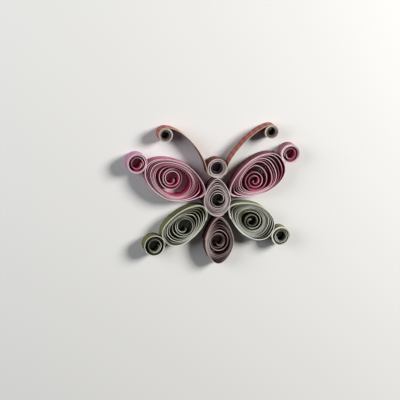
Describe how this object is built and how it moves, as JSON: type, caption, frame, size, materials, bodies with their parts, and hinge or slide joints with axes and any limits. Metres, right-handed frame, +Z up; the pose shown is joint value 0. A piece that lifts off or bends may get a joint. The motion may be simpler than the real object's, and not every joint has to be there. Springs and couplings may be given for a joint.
{
  "type": "quilled paper butterfly",
  "caption": "Flat butterfly of rolled paper strips on edge, with pinched coils for wings and body, round tip coils and curled antennae, to glue on a card or frame.",
  "frame": {"origin": "middle of the box around the butterfly, on the surface that it lies on", "axes": "+X across the wings to the right, +Y towards the head, +Z up from the surface, along the width of the paper strips"},
  "size_m": [0.099, 0.0802, 0.007],
  "materials": {
    "body_paper": "matte",
    "tail_paper": "matte",
    "pink_paper": "matte",
    "sage_paper": "matte",
    "check_paper": "matte"
  },
  "bodies": {
    "root": {"thorax": "body_paper", "head": "body_paper", "tail": "tail_paper", "upper_left_wing": "pink_paper", "upper_right_wing": "pink_paper", "lower_left_wing": "sage_paper", "lower_right_wing": "sage_paper", "upper_left_tip": "pink_paper", "upper_right_tip": "pink_paper", "lower_left_tip": "sage_paper", "lower_right_tip": "sage_paper", "left_antenna": "check_paper", "right_antenna": "check_paper"}
  },
  "joints": []
}
